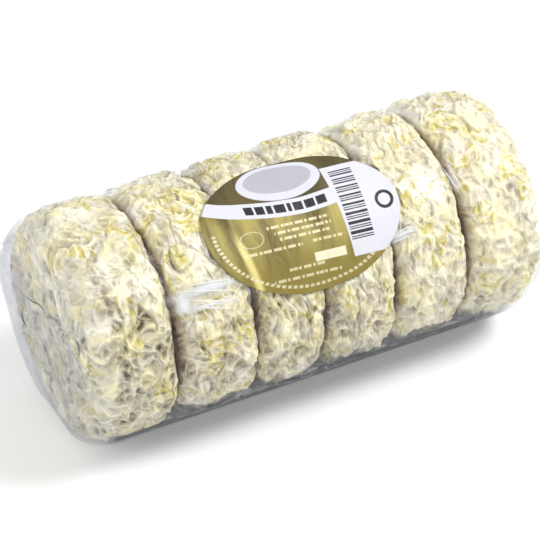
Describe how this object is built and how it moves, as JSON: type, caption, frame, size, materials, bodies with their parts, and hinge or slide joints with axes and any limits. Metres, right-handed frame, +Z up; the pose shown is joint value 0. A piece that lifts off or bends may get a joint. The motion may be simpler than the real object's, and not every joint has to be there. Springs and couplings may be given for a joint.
{
  "type": "goat cheese log",
  "caption": "Log of soft goat cheese discs with a wrinkled ivory rind, lying in a clear trough tray under tight clear film, with an oval label over the top and one side.",
  "frame": {"origin": "middle of the tray's foot, on the surface it stands on", "axes": "+X along the log, +Z up, the label's side faces -Y"},
  "size_m": [0.1382, 0.0662, 0.0645],
  "materials": {
    "rind": "soft ripened cheese rind, ivory with pale yellow patches, matt, finely wrinkled",
    "tray_plastic": "thin clear thermoformed plastic, glossy, faintly grey",
    "label_paper": "glossy printed sticker, olive and gold fields with white panels",
    "film": "thin clear shrink film, glossy, creased between the cheeses"
  },
  "bodies": {
    "root": {"wrapped_cheeses": "rind", "tray": "tray_plastic", "label": "label_paper"}
  },
  "joints": []
}
